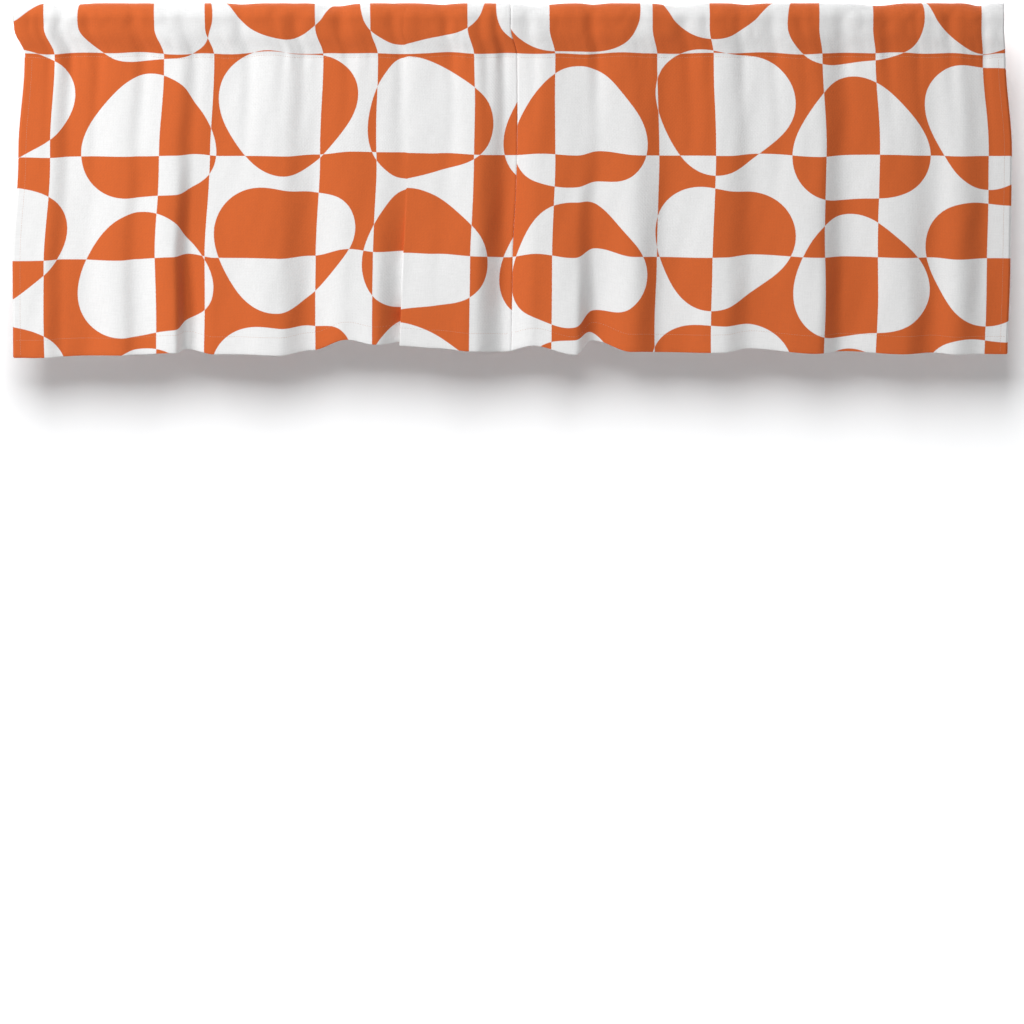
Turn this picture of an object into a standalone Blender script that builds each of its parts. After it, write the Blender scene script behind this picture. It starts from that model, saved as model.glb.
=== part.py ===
# A rod-pocket valance, two widths of cloth joined at a centre seam, on a spring tension rod.
# Metres. +X runs along the rod to the right as seen from the room, -Y faces the room, +Z is up.
# The origin is the centre of the left foot's bearing face, on the rod's axis.
import math

import bmesh
import bpy
from mathutils import Matrix, Vector

# Driving dimensions
ROD_LENGTH = 1.286
OUTER_TUBE_R = 0.0111
INNER_TUBE_R = 0.0095
TUBE_WALL = 0.0007
OUTER_TUBE_LENGTH = 1.185
INNER_TUBE_START = 0.2120
GAP = 0.0003
ROUND_STEPS = 24
SMOOTH_BELOW = math.radians(35)
MERGE = 1e-6

# End fittings
FOOT_R = 0.0120
FOOT_DEPTH = 0.0060
FOOT_EDGE = 0.0010
NUB_R = 0.0050
NUB_DEPTH = 0.0030
FLANGE_DEPTH = 0.0030
PLUG_DEPTH = 0.0230
PLUG_HOLLOW_R = 0.0055
SLEEVE_R = 0.0121
SLEEVE_GRIP = 0.0120
SLEEVE_LIP = 0.0037

# Twist lock and spring, inside the tubes
COLLET_START = 0.1120
COLLET_LENGTH = 0.0260
COLLET_R = 0.0101
COLLET_BORE_R = 0.0050
COLLET_SLOT = 0.0016
WEDGE_TAPER = 0.0024
STUD_FLATS = 0.0050
SPINDLE_START = 0.1080
HEX_START = 0.1400
HEX_FLATS = 0.0060
SEAT_R = 0.0085
SEAT_DEPTH = 0.0020
SPRING_R = 0.0068
SPRING_WIRE_R = 0.0008
SPRING_TURNS = 10
SPRING_TURN_STEPS = 14
GUIDE_FLANGE = 0.0037
GUIDE_DEPTH = 0.0200
NUT_FLATS = 0.0100
NUT_DEPTH = 0.0040

# Cloth
CLOTH = 0.0012
LAYER_GAP = 0.0004
HUNG_WIDTH = 1.2960
CENTRE_SEAM = 0.6500
POCKET_R = 0.0126
POCKET_TIP = -0.0514
POCKET_RIPPLE = 0.0008
RIPPLE_LENGTH = 0.0930
POCKET_ARC = 5
TIP_LIFT = 0.0048
SKIRT_TOP = -0.0520
STATION = 0.0200
HEM_DEPTH = 0.0250
SIDE_HEM = 0.0120
CORNER_CLEAR = 0.0160
SEAM_ALLOWANCE = 0.0120
THREAD = 0.0006
THREAD_HEIGHT = 0.0010
FOLD_AT_POCKET = 0.40
SLOPE_REACH = 0.0040
TURN_CLEAR = 0.0040
HEM_NOMINAL = -0.4500

# Turning points of the folds along the hem: distance from the left edge, depth towards the room, hem level
HEM_FOLDS = [
    (0.000, 0.004, -0.4475),
    (0.042, 0.005, -0.4465),
    (0.088, -0.003, -0.4460),
    (0.140, 0.004, -0.4450),
    (0.205, 0.011, -0.4410),
    (0.240, -0.010, -0.4345),
    (0.330, 0.008, -0.4435),
    (0.392, -0.006, -0.4375),
    (0.434, 0.002, -0.4235),
    (0.466, 0.006, -0.4290),
    (0.500, -0.012, -0.4310),
    (0.522, 0.008, -0.4320),
    (0.598, 0.010, -0.4380),
    (0.634, -0.012, -0.4430),
    (0.680, 0.010, -0.4300),
    (0.718, 0.008, -0.4370),
    (0.758, -0.010, -0.4240),
    (0.808, 0.008, -0.4380),
    (0.846, -0.006, -0.4420),
    (0.926, 0.007, -0.4405),
    (0.960, -0.003, -0.4370),
    (1.044, 0.008, -0.4400),
    (1.090, -0.008, -0.4405),
    (1.162, 0.008, -0.4420),
    (1.196, -0.002, -0.4420),
    (1.228, 0.007, -0.4430),
    (1.266, -0.007, -0.4435),
    (1.296, -0.004, -0.4440),
]
# The side edges draw in where the pocket is sewn: height, left edge, right edge
EDGES = [
    (HEM_NOMINAL, -0.0035, 1.2960),
    (-0.3200, -0.0035, 1.2990),
    (-0.1800, 0.0030, 1.3000),
    (SKIRT_TOP, 0.0120, 1.2900),
    (-0.0140, 0.0012, 1.2848),
    (0.0140, 0.0012, 1.2848),
]


def clear_scene():
    for obj in list(bpy.data.objects):
        bpy.data.objects.remove(obj, do_unlink=True)


def linear_from_hex(value):
    shares = [int(value[i : i + 2], 16) / 255 for i in (0, 2, 4)]
    return [c / 12.92 if c <= 0.04045 else ((c + 0.055) / 1.055) ** 2.4 for c in shares]


def make_material(name, colour, roughness, metallic=0.0):
    material = bpy.data.materials.new(name)
    material.use_nodes = True
    shader = material.node_tree.nodes["Principled BSDF"]
    shader.inputs["Base Color"].default_value = (*linear_from_hex(colour), 1.0)
    shader.inputs["Roughness"].default_value = roughness
    shader.inputs["Metallic"].default_value = metallic
    return material


def add_object(name, bm, material, parent):
    bmesh.ops.recalc_face_normals(bm, faces=bm.faces)
    mesh = bpy.data.meshes.new(name)
    bm.to_mesh(mesh)
    bm.free()
    mesh.shade_smooth()
    mesh.set_sharp_from_angle(angle=SMOOTH_BELOW)
    mesh.materials.append(material)
    obj = bpy.data.objects.new(name, mesh)
    bpy.context.scene.collection.objects.link(obj)
    obj.parent = parent
    return obj


def add_body(name, x=0.0, parent=None):
    """An empty on the rod's axis, which the pieces of one moving body hang from."""
    empty = bpy.data.objects.new(name, None)
    empty.location.x = x
    empty.parent = parent
    bpy.context.scene.collection.objects.link(empty)
    return empty


def turned(name, outline, material, parent, x=0.0, flip=False):
    """A piece turned about the rod's axis. The outline is (x, radius) points, a loop or a run that ends on the axis."""
    points = [(ROD_LENGTH - px if flip else px, r) for px, r in outline]
    bm = bmesh.new()
    ring = [bm.verts.new((px - x, 0.0, r)) for px, r in points]
    edges = [bm.edges.new(pair) for pair in zip(ring, ring[1:])]
    if min(r for _, r in points) > 0.0:
        edges.append(bm.edges.new((ring[-1], ring[0])))
    bmesh.ops.spin(
        bm,
        geom=ring + edges,
        cent=(0.0, 0.0, 0.0),
        axis=(1.0, 0.0, 0.0),
        angle=2 * math.pi,
        steps=ROUND_STEPS,
        use_merge=True,
    )
    bmesh.ops.remove_doubles(bm, verts=bm.verts, dist=MERGE)
    return add_object(name, bm, material, parent)


def hex_bar(bm, start, end, flats):
    turn = Matrix.Rotation(math.pi / 2, 4, "Y")
    middle = Matrix.Translation(((start + end) / 2, 0.0, 0.0))
    corner_r = flats / 2 / math.cos(math.pi / 6)
    return bmesh.ops.create_cone(
        bm,
        cap_ends=True,
        segments=6,
        radius1=corner_r,
        radius2=corner_r,
        depth=end - start,
        matrix=middle @ turn,
    )


def cutter(name, bm, target, parent):
    """A hidden shape that is cut from the target."""
    bmesh.ops.recalc_face_normals(bm, faces=bm.faces)
    mesh = bpy.data.meshes.new(name)
    bm.to_mesh(mesh)
    bm.free()
    tool = bpy.data.objects.new(name, mesh)
    bpy.context.scene.collection.objects.link(tool)
    tool.parent = parent
    tool.hide_render = True
    tool.display_type = "WIRE"
    cut = target.modifiers.new(name, "BOOLEAN")
    cut.operation = "DIFFERENCE"
    cut.solver = "EXACT"
    cut.object = tool


# ---- Rod


def tube(name, start, end, radius, material, parent, x=0.0):
    inner = radius - TUBE_WALL
    outline = [(start, inner), (start, radius), (end, radius), (end, inner)]
    turned(name, outline, material, parent, x)


def foot(name, material, parent, x=0.0, flip=False):
    """A rubber disc with a shallow socket at its back for the cap's nub."""
    socket_r = NUB_R + GAP
    socket_floor = FOOT_DEPTH - NUB_DEPTH
    outline = [
        (0.0, 0.0),
        (0.0, FOOT_R - FOOT_EDGE),
        (FOOT_EDGE, FOOT_R),
        (FOOT_DEPTH, FOOT_R),
        (FOOT_DEPTH, socket_r),
        (socket_floor, socket_r),
        (socket_floor, 0.0),
    ]
    turned(name, outline, material, parent, x, flip)


def end_cap(name, tube_r, material, parent, x=0.0, flip=False):
    """A moulded plug with a flange against the tube's end and a nub that the foot is pushed onto."""
    nub_tip = FOOT_DEPTH - NUB_DEPTH + GAP
    flange = FOOT_DEPTH + GAP
    shoulder = flange + FLANGE_DEPTH
    plug_r = tube_r - TUBE_WALL - GAP
    outline = [
        (nub_tip, 0.0),
        (nub_tip, NUB_R),
        (flange, NUB_R),
        (flange, FOOT_R),
        (shoulder, FOOT_R),
        (shoulder, plug_r),
        (shoulder + PLUG_DEPTH, plug_r),
        (shoulder + PLUG_DEPTH, PLUG_HOLLOW_R),
        (shoulder + FLANGE_DEPTH, PLUG_HOLLOW_R),
        (shoulder + FLANGE_DEPTH, 0.0),
    ]
    turned(name, outline, material, parent, x, flip)


def mouth_sleeve(material, parent):
    """A moulded ring over the outer tube's mouth, whose lip guides the inner tube."""
    mouth = tube_start() + OUTER_TUBE_LENGTH
    outline = [
        (mouth - SLEEVE_GRIP, OUTER_TUBE_R + GAP),
        (mouth - SLEEVE_GRIP, SLEEVE_R),
        (mouth + SLEEVE_LIP, SLEEVE_R),
        (mouth + SLEEVE_LIP, INNER_TUBE_R + GAP),
        (mouth + GAP, INNER_TUBE_R + GAP),
        (mouth + GAP, OUTER_TUBE_R + GAP),
    ]
    turned("mouth_sleeve", outline, material, parent)


def tube_start():
    return FOOT_DEPTH + FLANGE_DEPTH + 2 * GAP


def lock_collet(material, parent, x):
    """A split ring with a tapered bore. The wedge spreads it against the outer tube's wall."""
    end = COLLET_START + COLLET_LENGTH
    wide_bore = COLLET_BORE_R + WEDGE_TAPER
    outline = [
        (COLLET_START, wide_bore),
        (COLLET_START, COLLET_R),
        (end, COLLET_R),
        (end, COLLET_BORE_R),
    ]
    collet = turned("lock_collet", outline, material, parent, x)
    bm = bmesh.new()
    middle = Vector(((COLLET_START + end) / 2 - x, 0.0, COLLET_R))
    size = Matrix.Diagonal((2 * COLLET_LENGTH, COLLET_SLOT, 2 * COLLET_R, 1.0))
    bmesh.ops.create_cube(bm, size=1.0, matrix=Matrix.Translation(middle) @ size)
    cutter("collet_slot_cutter", bm, collet, parent)


def wedge(material, parent, x):
    """A tapered nut on the spindle's screw, in the collet's bore."""
    start = COLLET_START + GAP
    end = COLLET_START + COLLET_LENGTH - 2 * GAP
    taper = WEDGE_TAPER / COLLET_LENGTH
    bore = STUD_FLATS / 2 / math.cos(math.pi / 6) + GAP
    outline = [
        (start, bore),
        (start, COLLET_BORE_R + WEDGE_TAPER - taper * GAP - 2 * GAP),
        (end, COLLET_BORE_R + taper * 2 * GAP - 2 * GAP),
        (end, bore),
    ]
    turned("wedge", outline, material, parent, x)


def guide_plug(material, parent, x):
    """The plug in the inner tube's end. Its hexagonal bore slides on the spindle and turns it."""
    flange = INNER_TUBE_START - GAP - GUIDE_FLANGE
    shoulder = INNER_TUBE_START - GAP
    end = shoulder + GUIDE_DEPTH
    plug_r = INNER_TUBE_R - TUBE_WALL - GAP
    outline = [
        (flange, 0.0),
        (flange, INNER_TUBE_R),
        (shoulder, INNER_TUBE_R),
        (shoulder, plug_r),
        (end, plug_r),
        (end, 0.0),
    ]
    plug = turned("guide_plug", outline, material, parent, x)
    bm = bmesh.new()
    hex_bar(bm, flange - x - GUIDE_FLANGE, end - x + GUIDE_FLANGE, HEX_FLATS + 3 * GAP)
    cutter("guide_bore_cutter", bm, plug, parent)


def spindle(material, parent, x):
    """A hexagonal bar, turned down to a screw at one end and to a stud for the nut at the other."""
    hex_end = guide_end()
    stud_end = hex_end + 2 * NUT_DEPTH
    bm = bmesh.new()
    hex_bar(bm, HEX_START - x, hex_end - x, HEX_FLATS)
    ends = [min(bm.faces, key=lambda f: f.calc_center_median().x)]
    ends.append(max(bm.faces, key=lambda f: f.calc_center_median().x))
    reach = [SPINDLE_START - HEX_START, stud_end - hex_end]
    for face, length in zip(ends, reach):
        inset = (HEX_FLATS - STUD_FLATS) / 2
        bmesh.ops.inset_region(bm, faces=[face], thickness=inset, use_even_offset=True)
        stud = bmesh.ops.extrude_discrete_faces(bm, faces=[face])["faces"]
        bmesh.ops.translate(bm, verts=stud[0].verts, vec=(length, 0.0, 0.0))
    add_object("spindle", bm, material, parent)


def guide_end():
    return INNER_TUBE_START - GAP + GUIDE_DEPTH


def stop_nut(material, parent, x):
    """A nut on the spindle's end, which stops the guide plug."""
    start = guide_end() + GAP
    bm = bmesh.new()
    hex_bar(bm, start - x, start + NUT_DEPTH - x, NUT_FLATS)
    nut = add_object("stop_nut", bm, material, parent)
    bm = bmesh.new()
    hex_bar(bm, start - x - NUT_DEPTH, start - x + 2 * NUT_DEPTH, STUD_FLATS + 2 * GAP)
    cutter("nut_bore_cutter", bm, nut, parent)


def spring_seat(material, parent, x):
    start = HEX_START + GAP
    bore = HEX_FLATS / 2 / math.cos(math.pi / 6) + GAP
    end = start + SEAT_DEPTH
    outline = [(start, bore), (start, SEAT_R), (end, SEAT_R), (end, bore)]
    turned("spring_seat", outline, material, parent, x)


def compression_spring(material, parent, x):
    """Round wire wound on a helix about the spindle."""
    first = HEX_START + SEAT_DEPTH + 2 * GAP + SPRING_WIRE_R
    last = INNER_TUBE_START - 2 * GAP - GUIDE_FLANGE - SPRING_WIRE_R
    steps = SPRING_TURNS * SPRING_TURN_STEPS
    curve = bpy.data.curves.new("compression_spring", "CURVE")
    curve.dimensions = "3D"
    curve.bevel_depth = SPRING_WIRE_R
    curve.bevel_resolution = 0
    curve.use_fill_caps = True
    wire = curve.splines.new("POLY")
    wire.points.add(steps)
    for i, point in enumerate(wire.points):
        angle = 2 * math.pi * SPRING_TURNS * i / steps
        along = first + (last - first) * i / steps - x
        point.co = (along, SPRING_R * math.sin(angle), SPRING_R * math.cos(angle), 1.0)
    curve.materials.append(material)
    obj = bpy.data.objects.new("compression_spring", curve)
    bpy.context.scene.collection.objects.link(obj)
    obj.parent = parent


# ---- Cloth


def between(table, at, column, curve=lambda share: share):
    """One column of a table, read between the two rows whose first values lie either side."""
    for low, high in zip(table, table[1:]):
        if at <= high[0]:
            share = curve(max(0.0, (at - low[0]) / (high[0] - low[0])))
            return low[column] + share * (high[column] - low[column])
    return table[-1][column]


def ease(share):
    return 0.5 - 0.5 * math.cos(math.pi * share)


def edge_shift(along, z):
    """The real x of a place on the cloth: its distance along the hung width, drawn in or out with the side edges."""
    left = between(EDGES, z, 1)
    right = between(EDGES, z, 2)
    return left + along / HUNG_WIDTH * (right - left)


def fold_depth(along, z):
    """How far the cloth stands out towards the room. The folds open evenly from the pocket to the hem."""
    share = (z - SKIRT_TOP) / (HEM_NOMINAL - SKIRT_TOP)
    opened = FOLD_AT_POCKET + (1 - FOLD_AT_POCKET) * share
    return between(HEM_FOLDS, along, 1, ease) * opened


def cloth_point(along, z, back):
    """A point on the draped cloth, moved back along the fold's own normal."""
    here, before, after = (
        Vector((edge_shift(at, z), -fold_depth(at, z)))
        for at in (along, along - SLOPE_REACH, along + SLOPE_REACH)
    )
    run = (after - before).normalized()
    place = here + back * Vector((-run.y, run.x))
    return Vector((place.x, place.y, z))


def stations(stops):
    """Places along the cloth: the given stops, each fold's turning point between them, and steps between those."""
    turns = [row[0] for row in HEM_FOLDS if all(abs(row[0] - stop) > TURN_CLEAR for stop in stops)]
    marks = sorted(stops + [turn for turn in turns if min(stops) < turn < max(stops)])
    places = marks[:1]
    for low, high in zip(marks, marks[1:]):
        count = max(1, round((high - low) / STATION))
        places += [low + (high - low) * i / count for i in range(1, count + 1)]
    return places


def hem_level(along):
    return between(HEM_FOLDS, along, 2, ease)


def hem_top(along):
    return hem_level(along) + HEM_DEPTH


def full_height(along):
    """Levels of the skirt from the pocket seam down to the hem, where the cloth's facets turn."""
    return [row[0] for row in reversed(EDGES[1:4])] + [hem_top(along), hem_level(along)]


def layer(name, places, levels, front, thickness, material, parent):
    """A closed strip of cloth or thread that follows the folds. levels gives its heights at each place."""
    bm = bmesh.new()
    grids = []
    for back in (front, front + thickness):
        grid = []
        for along in places:
            grid.append([bm.verts.new(cloth_point(along, z, back)) for z in levels(along)])
        grids.append(grid)
        for near, far in zip(grid, grid[1:]):
            for j in range(len(near) - 1):
                bm.faces.new((near[j], near[j + 1], far[j + 1], far[j]))
    front_grid, back_grid = grids
    rims = [(front_grid[k], back_grid[k]) for k in (0, -1)]
    rims += [([c[k] for c in front_grid], [c[k] for c in back_grid]) for k in (0, -1)]
    for one, other in rims:
        for j in range(len(one) - 1):
            bm.faces.new((one[j], one[j + 1], other[j + 1], other[j]))
    return add_object(name, bm, material, parent)


def pocket_outline(radius, tip, tip_y):
    """The pocket's section as (y, z), round over the rod and straight down to the seam on both sides."""
    low = math.acos(radius / -tip)
    arc = [low + (math.pi - low) * i / POCKET_ARC for i in range(POCKET_ARC + 1)]
    right = [(radius * math.sin(a), -radius * math.cos(a)) for a in arc]
    left = [(-y, z) for y, z in reversed(right[:-1])]
    return [(tip_y, tip)] + right + left


def pocket(name, places, material, parent):
    """The sleeve that the rod runs through, open at both ends."""
    bm = bmesh.new()
    rings = []
    for along in places:
        swell = POCKET_RIPPLE * (0.5 - 0.5 * math.cos(2 * math.pi * along / RIPPLE_LENGTH))
        tip_y = -fold_depth(along, SKIRT_TOP)
        loops = []
        for thick, lift in ((0.0, TIP_LIFT), (CLOTH, 0.0)):
            outline = pocket_outline(POCKET_R + thick + swell, POCKET_TIP + lift, tip_y)
            loops.append([bm.verts.new((edge_shift(along, z), y, z)) for y, z in outline])
        rings.append(loops)
    count = len(rings[0][0])
    turns = [(j, (j + 1) % count) for j in range(count)]
    for near, far in zip(rings, rings[1:]):
        for k in (0, 1):
            for j, n in turns:
                bm.faces.new((near[k][j], near[k][n], far[k][n], far[k][j]))
    for inner, outer in (rings[0], rings[-1]):
        for j, n in turns:
            bm.faces.new((inner[j], inner[n], outer[n], outer[j]))
    return add_object(name, bm, material, parent)


def width_of_cloth(side, outer, inner, print_material, thread_material, valance, edge):
    """One width: pocket, skirt, turned-up bottom hem, turned-in side hem and their stitching."""
    behind = CLOTH + LAYER_GAP
    ahead = -THREAD - LAYER_GAP
    inward = 1 if inner > outer else -1
    stitch = outer + inward * (SIDE_HEM - 2 * THREAD_HEIGHT)
    stops = [
        outer,
        stitch,
        stitch + inward * THREAD_HEIGHT,
        outer + inward * SIDE_HEM,
        outer + inward * CORNER_CLEAR,
        inner - inward * SEAM_ALLOWANCE,
        inner,
    ]
    places = stations(stops)

    def part_of(start, end):
        low, high = min(start, end), max(start, end)
        return [p for p in places if low - MERGE < p < high + MERGE]

    def hem_band(along):
        return [hem_top(along), hem_level(along)]

    def pocket_line(along):
        return [SKIRT_TOP - THREAD_HEIGHT, SKIRT_TOP - 2 * THREAD_HEIGHT]

    def hem_line(along):
        return [hem_top(along) - THREAD_HEIGHT, hem_top(along) - 2 * THREAD_HEIGHT]

    pocket(f"{side}_pocket", places[:-1:2] + places[-1:], print_material, valance)
    layer(f"{side}_skirt", places, full_height, 0.0, CLOTH, print_material, valance)
    across = part_of(outer + inward * CORNER_CLEAR, inner)
    layer(f"{side}_bottom_hem", across, hem_band, behind, CLOTH, print_material, valance)
    layer(f"{side}_pocket_stitching", across, pocket_line, ahead, THREAD, thread_material, valance)
    layer(f"{side}_hem_stitching", across, hem_line, ahead, THREAD, thread_material, valance)
    turned_in = part_of(outer, outer + inward * SIDE_HEM)
    layer(f"{side}_side_hem", turned_in, full_height, behind, CLOTH, print_material, edge)
    stitched = part_of(stitch, stitch + inward * THREAD_HEIGHT)
    layer(f"{side}_side_stitching", stitched, full_height, ahead, THREAD, thread_material, edge)


def centre_seam(inner, material, parent):
    """The allowance of the seam that joins the two widths, pressed to the left behind the cloth."""

    def levels(along):
        return full_height(along)[:-2] + [hem_top(along) + 2 * THREAD_HEIGHT]

    places = stations([inner - SEAM_ALLOWANCE, inner])
    layer("centre_seam", places, levels, CLOTH + LAYER_GAP, CLOTH, material, parent)


# ---- Assembly


def build():
    clear_scene()
    enamel = make_material("white_enamel", "E9E8E4", 0.35)
    moulded = make_material("white_moulded_plastic", "E4E2DC", 0.5)
    rubber = make_material("grey_rubber", "B9B7B1", 0.8)
    zinc = make_material("zinc_plated_steel", "A9ABAE", 0.35, 1.0)
    spring_steel = make_material("spring_steel", "7C7D80", 0.4, 1.0)
    nylon = make_material("black_nylon", "2B2B2D", 0.5)
    cloth = make_material("printed_cloth", "D2703F", 0.85)
    thread = make_material("white_thread", "EDEBE6", 0.7)

    outer_rod = add_body("outer_rod")
    foot("left_foot", rubber, outer_rod)
    end_cap("left_end_cap", OUTER_TUBE_R, moulded, outer_rod)
    start = tube_start()
    tube("outer_tube", start, start + OUTER_TUBE_LENGTH, OUTER_TUBE_R, enamel, outer_rod)
    mouth_sleeve(moulded, outer_rod)

    lock_x = COLLET_START
    lock = add_body("lock", lock_x, outer_rod)
    lock_collet(nylon, lock, lock_x)
    twist = add_body("twist", 0.0, lock)
    wedge(zinc, twist, lock_x)
    spindle(zinc, twist, lock_x)
    spring_seat(zinc, twist, lock_x)
    compression_spring(spring_steel, twist, lock_x)
    stop_nut(zinc, twist, lock_x)

    inner_x = INNER_TUBE_START
    inner_rod = add_body("inner_rod", inner_x - lock_x, twist)
    guide_plug(nylon, inner_rod, inner_x)
    inner_end = ROD_LENGTH - tube_start()
    tube("inner_tube", INNER_TUBE_START, inner_end, INNER_TUBE_R, enamel, inner_rod, inner_x)
    end_cap("right_end_cap", INNER_TUBE_R, moulded, inner_rod, inner_x, flip=True)
    foot("right_foot", rubber, inner_rod, inner_x, flip=True)

    valance = add_body("valance", 0.0, outer_rod)
    left_edge = add_body("left_edge", 0.0, valance)
    right_edge = add_body("right_edge", 0.0, valance)
    width_of_cloth("left", 0.0, CENTRE_SEAM - GAP / 2, cloth, thread, valance, left_edge)
    width_of_cloth("right", HUNG_WIDTH, CENTRE_SEAM + GAP / 2, cloth, thread, valance, right_edge)
    centre_seam(CENTRE_SEAM - GAP / 2, cloth, valance)


build()
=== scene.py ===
import bisect
import math
import bmesh
import bpy
from mathutils import Matrix, Vector, noise


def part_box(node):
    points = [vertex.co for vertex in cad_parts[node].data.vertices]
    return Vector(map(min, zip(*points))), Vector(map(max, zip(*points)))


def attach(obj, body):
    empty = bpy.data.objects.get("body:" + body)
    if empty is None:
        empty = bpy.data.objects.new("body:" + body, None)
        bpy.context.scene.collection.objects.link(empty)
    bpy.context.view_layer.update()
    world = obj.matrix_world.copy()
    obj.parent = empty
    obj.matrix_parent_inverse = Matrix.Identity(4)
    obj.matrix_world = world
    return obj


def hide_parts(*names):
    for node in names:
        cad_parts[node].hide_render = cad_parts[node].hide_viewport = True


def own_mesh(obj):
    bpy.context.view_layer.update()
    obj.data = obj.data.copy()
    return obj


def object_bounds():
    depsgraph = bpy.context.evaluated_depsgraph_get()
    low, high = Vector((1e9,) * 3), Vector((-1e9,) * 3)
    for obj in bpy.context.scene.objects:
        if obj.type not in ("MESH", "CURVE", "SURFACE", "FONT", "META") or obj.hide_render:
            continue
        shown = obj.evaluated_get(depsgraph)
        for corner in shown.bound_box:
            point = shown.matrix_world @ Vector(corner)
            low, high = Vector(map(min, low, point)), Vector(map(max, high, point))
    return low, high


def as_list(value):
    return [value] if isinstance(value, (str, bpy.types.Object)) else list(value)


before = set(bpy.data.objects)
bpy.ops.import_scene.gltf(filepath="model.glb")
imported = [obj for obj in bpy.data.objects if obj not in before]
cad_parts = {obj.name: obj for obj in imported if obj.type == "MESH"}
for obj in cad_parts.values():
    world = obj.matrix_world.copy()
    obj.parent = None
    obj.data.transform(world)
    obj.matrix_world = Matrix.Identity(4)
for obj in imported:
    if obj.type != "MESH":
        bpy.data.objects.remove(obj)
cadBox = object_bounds()


def linearFromHex(value):
    shares = [int(value[i:i + 2], 16) / 255 for i in (1, 3, 5)]
    return [c / 12.92 if c <= 0.04045 else ((c + 0.055) / 1.055) ** 2.4 for c in shares] + [1.0]


def addNode(tree, kind, inputs=(), **settings):
    # an input is a value, another node (its first output is used) or a socket
    node = tree.nodes.new("ShaderNode" + kind)
    for name, value in settings.items():
        setattr(node, name, value)
    for key, value in (inputs.items() if isinstance(inputs, dict) else enumerate(inputs)):
        if value is None:
            continue
        if isinstance(value, bpy.types.Node):
            value = value.outputs[0]
        if isinstance(value, bpy.types.NodeSocket):
            tree.links.new(value, node.inputs[key])
        else:
            node.inputs[key].default_value = value
    return node


def newMaterial(name):
    material = bpy.data.materials.new(name)
    material.use_nodes = True
    material.node_tree.nodes.clear()
    return material, material.node_tree


def closeMaterial(tree, surface):
    addNode(tree, "OutputMaterial", {"Surface": surface})


# camera: straight on, aimed well below the cloth, so that the cloth hangs at the top of the frame
camera = {
    "distance": 10.0,
    "frameWidth": 1.341,
    "tilt": 6.0,
    "aimBelow": 0.3221,  # how far under the cloth's middle, as a share of the frame
}


def makeCamera():
    eye = bpy.data.cameras.new("camera")
    eye.lens = eye.sensor_width * camera["distance"] / camera["frameWidth"]
    eye.clip_end = 40
    obj = bpy.data.objects.new("camera", eye)
    bpy.context.scene.collection.objects.link(obj)
    middle = (cadBox[0] + cadBox[1]) / 2
    tilt = math.radians(camera["tilt"])
    aim = Vector((middle.x, 0, middle.z - camera["aimBelow"] * camera["frameWidth"]))
    obj.location = aim + camera["distance"] * Vector((0, -math.cos(tilt), math.sin(tilt)))
    obj.rotation_euler = (math.pi / 2 - tilt, 0, 0)
    bpy.context.scene.camera = obj


makeCamera()
print("camera set")

# printed cloth
printDesign = {
    "white": "#F3F3F3",
    "orange": "#D86831",
    "checkPeriod": 0.2215,  # a wide and a narrow column together
    "wideColumn": 0.1465,
    "checkRow": 0.1330,
    "firstColumn": 0.0410,
    "firstRow": -0.0480,
    "motifRow": 0.1780,
    # for each column of three-cornered shapes: place, level of the first row, way that a corner points
    "motifs": [
        (-0.027, -0.111, 10), (0.176, -0.162, 95), (0.363, -0.120, 26),
        (0.558, -0.136, 107), (0.765, -0.147, 97), (1.184, -0.151, 97),
        (1.381, -0.120, 18), (1.564, -0.166, 97), (1.746, -0.138, 25),
    ],
    "motifRadius": 0.0855,
    "corner": 0.092,
    "wide": 0.072,
    "turnChance": 16,  # degrees
    "inkEdge": 0.0004,
    "creep": 0.0006,
    "restart": -0.4039,  # the right width is cut from further along the print, two checks and a little less
    "threadPitch": 0.0024,  # real threads are 0.35 mm apart, too fine to show
    "weaveShare": 0.25,
    "weftSlub": (70.0, 900.0, 1.0),  # slubs about 14 mm long and 1 mm high
    "warpSlub": (900.0, 70.0, 1.0),
}


def flooredBands(tree, value, period, filled):
    # 1 for the filled length of each period, 0 for the rest
    soft = printDesign["inkEdge"]
    inPeriod = addNode(tree, "Math", [value, period], operation="FLOORED_MODULO")
    fromMiddle = addNode(tree, "Math", [inPeriod, filled / 2], operation="SUBTRACT")
    off = addNode(tree, "Math", [fromMiddle], operation="ABSOLUTE")
    return addNode(tree, "MapRange", [off, filled / 2 - soft, filled / 2 + soft, 1.0, 0.0])


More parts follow.
